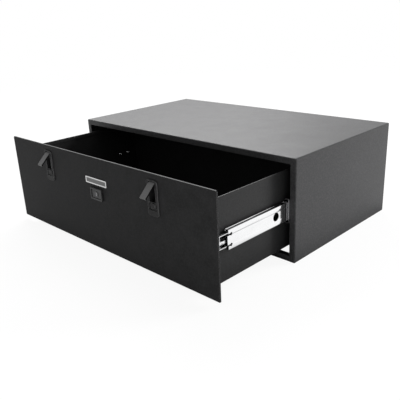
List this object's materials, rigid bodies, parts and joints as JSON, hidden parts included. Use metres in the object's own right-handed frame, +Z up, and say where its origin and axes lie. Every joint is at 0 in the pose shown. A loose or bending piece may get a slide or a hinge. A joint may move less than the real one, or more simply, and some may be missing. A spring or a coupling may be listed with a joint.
{
  "type": "under desk drawer safe",
  "caption": "Black steel housing that goes under a desk, with a wide drawer on telescopic ball-bearing slides, two lever latches and a cam lock in its front panel",
  "frame": {"origin": "middle of the housing's flat top face, which goes against the underside of the desk", "axes": "+Z up, out of the top face; the drawer opens toward -Y; +X to the right of someone who faces it"},
  "size_m": [0.62, 0.5635, 0.199],
  "materials": {
    "black_powder_coat": "satin, fine textured powder coat",
    "black_drawer_steel": "satin, smooth powder coat",
    "zinc_steel": "gloss, bright zinc plate",
    "ball_steel": "polished",
    "black_cast_metal": "satin black over cast zinc",
    "lock_chrome": "gloss, dark chrome",
    "brushed_aluminium": "satin, brushed"
  },
  "bodies": {
    "housing": {"housing_shell": "black_powder_coat", "housing_back": "black_powder_coat", "front_bottom_rail": "black_powder_coat", "rear_bottom_rail": "black_powder_coat", "slide_bracket_left": "black_drawer_steel", "outer_slide_left": "zinc_steel", "slide_bracket_right": "black_drawer_steel", "outer_slide_right": "zinc_steel"},
    "drawer": {"drawer_tray": "black_drawer_steel", "drawer_back": "black_drawer_steel", "foot_angle": "black_drawer_steel", "corner_angle_left": "black_drawer_steel", "corner_angle_right": "black_drawer_steel", "front_panel": "black_powder_coat", "nameplate": "brushed_aluminium", "lock_case": "black_cast_metal", "lock_nut": "zinc_steel", "inner_slide_left": "zinc_steel", "latch_pan_left": "black_cast_metal", "latch_clamp_left": "zinc_steel", "latch_pin_left": "zinc_steel", "inner_slide_right": "zinc_steel", "latch_pan_right": "black_cast_metal", "latch_clamp_right": "zinc_steel", "latch_pin_right": "zinc_steel", "slide_screw_left_1": "zinc_steel", "slide_screw_left_2": "zinc_steel", "slide_screw_left_3": "zinc_steel", "slide_screw_left_4": "zinc_steel", "slide_screw_right_1": "zinc_steel", "slide_screw_right_2": "zinc_steel", "slide_screw_right_3": "zinc_steel", "slide_screw_right_4": "zinc_steel"},
    "middle_slide_left": {"middle_slide_left": "zinc_steel"},
    "outer_ball_cage_left": {"outer_ball_cage_left": "ball_steel"},
    "inner_ball_cage_left": {"inner_ball_cage_left": "ball_steel"},
    "latch_left": {"latch_lever_left": "black_cast_metal", "latch_hook_left": "zinc_steel"},
    "latch_button_left": {"latch_button_left": "black_cast_metal"},
    "middle_slide_right": {"middle_slide_right": "zinc_steel"},
    "outer_ball_cage_right": {"outer_ball_cage_right": "ball_steel"},
    "inner_ball_cage_right": {"inner_ball_cage_right": "ball_steel"},
    "latch_right": {"latch_lever_right": "black_cast_metal", "latch_hook_right": "zinc_steel"},
    "latch_button_right": {"latch_button_right": "black_cast_metal"},
    "lock": {"lock_plug": "lock_chrome", "lock_cam": "zinc_steel", "cam_screw": "zinc_steel"}
  },
  "joints": [
    {"name": "middle_slide_right_travel", "type": "slide", "parent": "housing", "child": "middle_slide_right", "axis": [0, -1, 0], "range_m": [-0.1595, 0]},
    {"name": "middle_slide_left_travel", "type": "slide", "parent": "housing", "child": "middle_slide_left", "axis": [0, -1, 0], "range_m": [-0.1595, 0]},
    {"name": "drawer_travel", "type": "slide", "parent": "middle_slide_right", "child": "drawer", "axis": [0, -1, 0], "range_m": [-0.0345, 0.114]},
    {"name": "outer_ball_cage_left_travel", "type": "slide", "parent": "housing", "child": "outer_ball_cage_left", "axis": [0, -1, 0], "range_m": [-0.07975, 0]},
    {"name": "inner_ball_cage_left_travel", "type": "slide", "parent": "middle_slide_left", "child": "inner_ball_cage_left", "axis": [0, -1, 0], "range_m": [-0.01725, 0.057]},
    {"name": "latch_left_pivot", "type": "hinge", "parent": "drawer", "child": "latch_left", "pos_m": [-0.1637, -0.3665, -0.0211], "axis": [1, 0, 0], "range_deg": [-20, 46]},
    {"name": "latch_button_left_push", "type": "slide", "parent": "drawer", "child": "latch_button_left", "axis": [0, 1, 0], "range_m": [0, 0.002], "stiffness_N_per_m": 400},
    {"name": "outer_ball_cage_right_travel", "type": "slide", "parent": "housing", "child": "outer_ball_cage_right", "axis": [0, -1, 0], "range_m": [-0.07975, 0]},
    {"name": "inner_ball_cage_right_travel", "type": "slide", "parent": "middle_slide_right", "child": "inner_ball_cage_right", "axis": [0, -1, 0], "range_m": [-0.01725, 0.057]},
    {"name": "latch_right_pivot", "type": "hinge", "parent": "drawer", "child": "latch_right", "pos_m": [0.1637, -0.3665, -0.0211], "axis": [1, 0, 0], "range_deg": [-20, 46]},
    {"name": "latch_button_right_push", "type": "slide", "parent": "drawer", "child": "latch_button_right", "axis": [0, 1, 0], "range_m": [0, 0.002], "stiffness_N_per_m": 400},
    {"name": "lock_turn", "type": "hinge", "parent": "drawer", "child": "lock", "pos_m": [0, -0.3695, -0.0735], "axis": [0, -1, 0], "range_deg": [0, 90]}
  ],
  "couplings": [
    {"joint": "middle_slide_left_travel", "follows": "middle_slide_right_travel", "ratio": 1},
    {"joint": "outer_ball_cage_left_travel", "follows": "middle_slide_right_travel", "ratio": 0.5},
    {"joint": "inner_ball_cage_left_travel", "follows": "drawer_travel", "ratio": 0.5},
    {"joint": "outer_ball_cage_right_travel", "follows": "middle_slide_right_travel", "ratio": 0.5},
    {"joint": "inner_ball_cage_right_travel", "follows": "drawer_travel", "ratio": 0.5}
  ]
}
